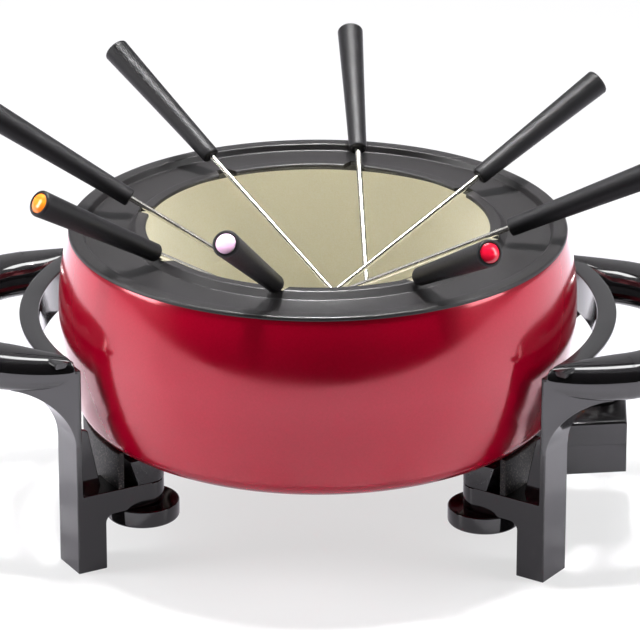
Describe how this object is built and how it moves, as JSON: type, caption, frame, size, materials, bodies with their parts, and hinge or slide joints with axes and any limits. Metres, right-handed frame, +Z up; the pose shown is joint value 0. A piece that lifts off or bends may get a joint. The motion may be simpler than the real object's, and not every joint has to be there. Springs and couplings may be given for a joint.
{
  "type": "electric fondue pot set",
  "caption": "Round electric fondue pot on two handled stands, with a notched fork ring, long forks leaning in its notches and a plug-in temperature probe.",
  "frame": {"origin": "on the table, under the middle of the pot", "axes": "+Z up, X along the two carrying handles with the probe at +X, -Y to the front"},
  "size_m": [0.366, 0.3014, 0.1943],
  "materials": {
    "red_enamel": "glossy baked enamel",
    "cream_ceramic": "satin ceramic coating",
    "ring_black": "satin black coating",
    "phenolic_black": "glossy moulded phenolic",
    "support_black": "matt moulded phenolic",
    "steel": "drawn stainless wire",
    "fastener_steel": "plated",
    "grip_black": "fine matt moulded plastic",
    "button_orange": "glossy",
    "button_pink": "glossy",
    "button_red": "glossy",
    "button_yellow": "glossy",
    "button_green": "glossy",
    "button_blue": "glossy",
    "button_white": "glossy",
    "button_purple": "glossy",
    "sheath_steel": "heat-tinted",
    "ceramic_white": "unglazed steatite",
    "pressed_steel": "galvanised sheet",
    "probe_black": "fine matt moulded plastic",
    "brass": "bright",
    "amber_lens": "clear amber",
    "lamp_glass": "clear"
  },
  "bodies": {
    "base": {"pot": "red_enamel", "heating_element": "sheath_steel", "terminal_insulators": "ceramic_white", "terminal_pins": "fastener_steel", "plug_guard": "pressed_steel", "guard_screws": "fastener_steel", "right_stand": "phenolic_black", "left_stand": "phenolic_black", "spacer_right_front": "support_black", "spacer_right_rear": "support_black", "spacer_left_rear": "support_black", "spacer_left_front": "support_black", "retaining_cap_right_front": "support_black", "retaining_cap_right_rear": "support_black", "retaining_cap_left_rear": "support_black", "retaining_cap_left_front": "support_black", "stand_screws": "fastener_steel"},
    "ring": {"fork_ring": "ring_black"},
    "fork_1": {"fork_1_shaft": "steel", "fork_1_handle": "grip_black", "fork_1_button": "button_yellow"},
    "fork_2": {"fork_2_shaft": "steel", "fork_2_handle": "grip_black", "fork_2_button": "button_green"},
    "fork_3": {"fork_3_shaft": "steel", "fork_3_handle": "grip_black", "fork_3_button": "button_blue"},
    "fork_4": {"fork_4_shaft": "steel", "fork_4_handle": "grip_black", "fork_4_button": "button_white"},
    "fork_5": {"fork_5_shaft": "steel", "fork_5_handle": "grip_black", "fork_5_button": "button_purple"},
    "fork_6": {"fork_6_shaft": "steel", "fork_6_handle": "grip_black", "fork_6_button": "button_orange"},
    "fork_7": {"fork_7_shaft": "steel", "fork_7_handle": "grip_black", "fork_7_button": "button_pink"},
    "fork_8": {"fork_8_shaft": "steel", "fork_8_handle": "grip_black", "fork_8_button": "button_red"},
    "probe": {"probe_case_bottom": "probe_black", "probe_case_top": "probe_black", "probe_screws": "fastener_steel", "sensor_stem": "steel", "contact_sleeves": "brass", "thermostat_block": "ceramic_white", "lamp_lens": "amber_lens", "indicator_lamp": "lamp_glass", "power_inlet": "probe_black", "inlet_pins": "brass"},
    "dial": {"dial_shaft": "fastener_steel", "temperature_dial": "probe_black"}
  },
  "joints": [
    {"name": "ring_lift", "type": "slide", "parent": "base", "child": "ring", "axis": [0, 0, 1], "range_m": [0, 0.1]},
    {"name": "fork_1_pull", "type": "slide", "parent": "ring", "child": "fork_1", "axis": [-0.8552, 0.0703, 0.5135], "range_m": [0, 0.115]},
    {"name": "fork_2_pull", "type": "slide", "parent": "ring", "child": "fork_2", "axis": [-0.6489, 0.5601, 0.515], "range_m": [0, 0.115]},
    {"name": "fork_3_pull", "type": "slide", "parent": "ring", "child": "fork_3", "axis": [-0.0828, 0.8594, 0.5045], "range_m": [0, 0.115]},
    {"name": "fork_4_pull", "type": "slide", "parent": "ring", "child": "fork_4", "axis": [0.7431, 0.4644, 0.4818], "range_m": [0, 0.115]},
    {"name": "fork_5_pull", "type": "slide", "parent": "ring", "child": "fork_5", "axis": [0.9074, -0.0682, 0.4147], "range_m": [0, 0.115]},
    {"name": "fork_6_pull", "type": "slide", "parent": "ring", "child": "fork_6", "axis": [-0.6435, -0.5594, 0.5225], "range_m": [0, 0.115]},
    {"name": "fork_7_pull", "type": "slide", "parent": "ring", "child": "fork_7", "axis": [-0.2435, -0.7915, 0.5606], "range_m": [0, 0.115]},
    {"name": "fork_8_pull", "type": "slide", "parent": "ring", "child": "fork_8", "axis": [0.4192, -0.7817, 0.4617], "range_m": [0, 0.115]},
    {"name": "probe_pull", "type": "slide", "parent": "base", "child": "probe", "axis": [1, 0, 0], "range_m": [0, 0.06]},
    {"name": "dial_turn", "type": "hinge", "parent": "probe", "child": "dial", "pos_m": [0.129, 0, 0.0635], "axis": [0, 0, -1], "range_deg": [0, 270]}
  ]
}
